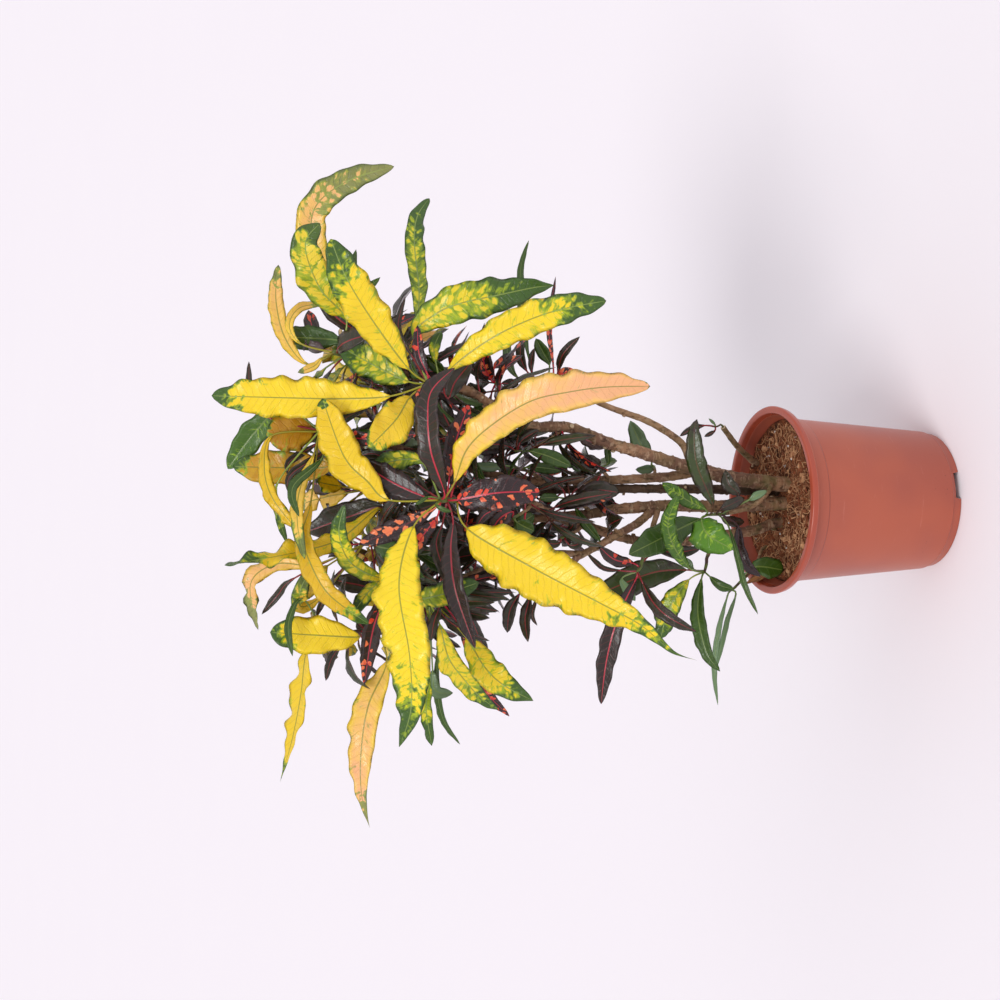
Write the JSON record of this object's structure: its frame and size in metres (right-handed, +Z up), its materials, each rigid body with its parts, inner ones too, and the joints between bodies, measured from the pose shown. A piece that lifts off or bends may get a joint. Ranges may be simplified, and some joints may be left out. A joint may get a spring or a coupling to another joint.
{
  "type": "potted croton",
  "caption": "Leafy croton shrub with long waved and spotted leaves on branched woody stems, growing in a tapered round nursery pot with a rolled rim.",
  "frame": {"origin": "on the floor, centre of the overall box, on the pot's axis within a few millimetres", "axes": "+Z up along the pot's axis, +Y away from the viewer of the picture, +X to the viewer's right with the plant upright"},
  "size_m": [0.7989, 0.4689, 0.9348],
  "materials": {
    "pot": "terracotta-coloured moulded polypropylene, semi-matt with a soft sheen on the rim",
    "soil": "loose potting soil of coir and bark fibres with white perlite bits",
    "tie": "dark green flexible plastic",
    "dry_leaf": "dry brown leaf, matt and brittle",
    "bark": "grey-brown bark with small leaf scars, green towards the leafy ends",
    "leaves_yellow": "glossy leaves, yellow with green tips and veins, some dark with red ribs",
    "leaves_peach": "glossy leaves, ochre to peach, some green and some dark with red ribs",
    "leaves_green": "glossy leaves, bright green with yellow streaks and spots",
    "leaves_dark": "glossy leaves, near-black purple and green with red ribs"
  },
  "bodies": {
    "root": {"pot": "pot", "soil": "soil", "tie": "tie", "dry_leaf": "dry_leaf", "right_stem": "bark", "centre_stem": "bark", "dark_stem": "bark", "left_stem": "bark", "stub_stem": "bark", "rim_stem": "bark", "front_crown": "leaves_yellow", "right_crown": "leaves_yellow", "left_crown": "leaves_yellow", "lower_left_crown": "leaves_yellow", "far_crown": "leaves_yellow", "far_left_crown": "leaves_yellow", "far_right_crown": "leaves_yellow", "back_right_crown": "leaves_peach", "back_centre_crown": "leaves_peach", "back_left_crown": "leaves_peach", "left_rim_side_shoot": "leaves_green", "rim_shoot": "leaves_green", "centre_low_shoot": "leaves_green", "left_mid_shoot": "leaves_dark", "left_low_shoot": "leaves_dark", "right_mid_shoot": "leaves_dark", "right_upper_shoot": "leaves_dark", "stub_shoot": "leaves_dark", "thin_twig_shoot": "leaves_dark", "inner_shoot_a": "leaves_dark", "inner_shoot_b": "leaves_dark", "inner_shoot_c": "leaves_dark", "inner_shoot_d": "leaves_dark", "inner_shoot_e": "leaves_dark", "inner_shoot_f": "leaves_dark", "inner_shoot_g": "leaves_dark", "inner_shoot_h": "leaves_dark", "far_low_left_shoot": "leaves_dark", "far_low_right_shoot": "leaves_dark"}
  },
  "joints": []
}
